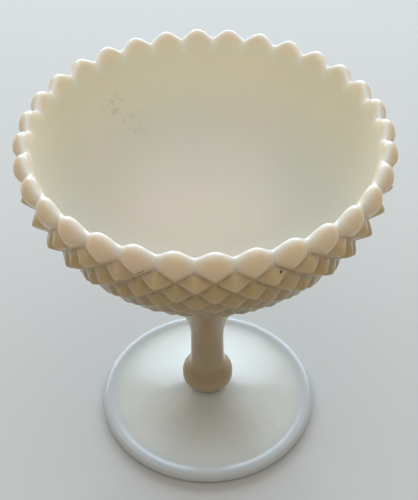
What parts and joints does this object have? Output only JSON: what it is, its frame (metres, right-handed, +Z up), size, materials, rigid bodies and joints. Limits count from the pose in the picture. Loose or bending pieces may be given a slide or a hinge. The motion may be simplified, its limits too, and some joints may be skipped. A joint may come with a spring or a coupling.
{
  "type": "footed glass bowl",
  "caption": "Deep round pressed-glass bowl with a scalloped rim and saw-tooth outside, raised on a turned stem with a knop and a low round foot.",
  "frame": {"origin": "centre of the foot's resting face", "axes": "+Z up along the axis of the bowl, stem and foot; a rim lobe lies on +X, -X, +Y and -Y"},
  "size_m": [0.2208, 0.2208, 0.2425],
  "materials": {
    "bowl_glass": "opal milk glass, fire-polished gloss",
    "bowl_wafer_glass": "opal milk glass, gloss",
    "stem_glass": "opal milk glass, fire-polished gloss",
    "foot_wafer_glass": "opal milk glass, gloss",
    "foot_glass": "opal milk glass, fire-polished gloss"
  },
  "bodies": {
    "root": {"bowl": "bowl_glass", "bowl_wafer": "bowl_wafer_glass", "stem": "stem_glass", "foot_wafer": "foot_wafer_glass", "foot": "foot_glass"}
  },
  "joints": []
}
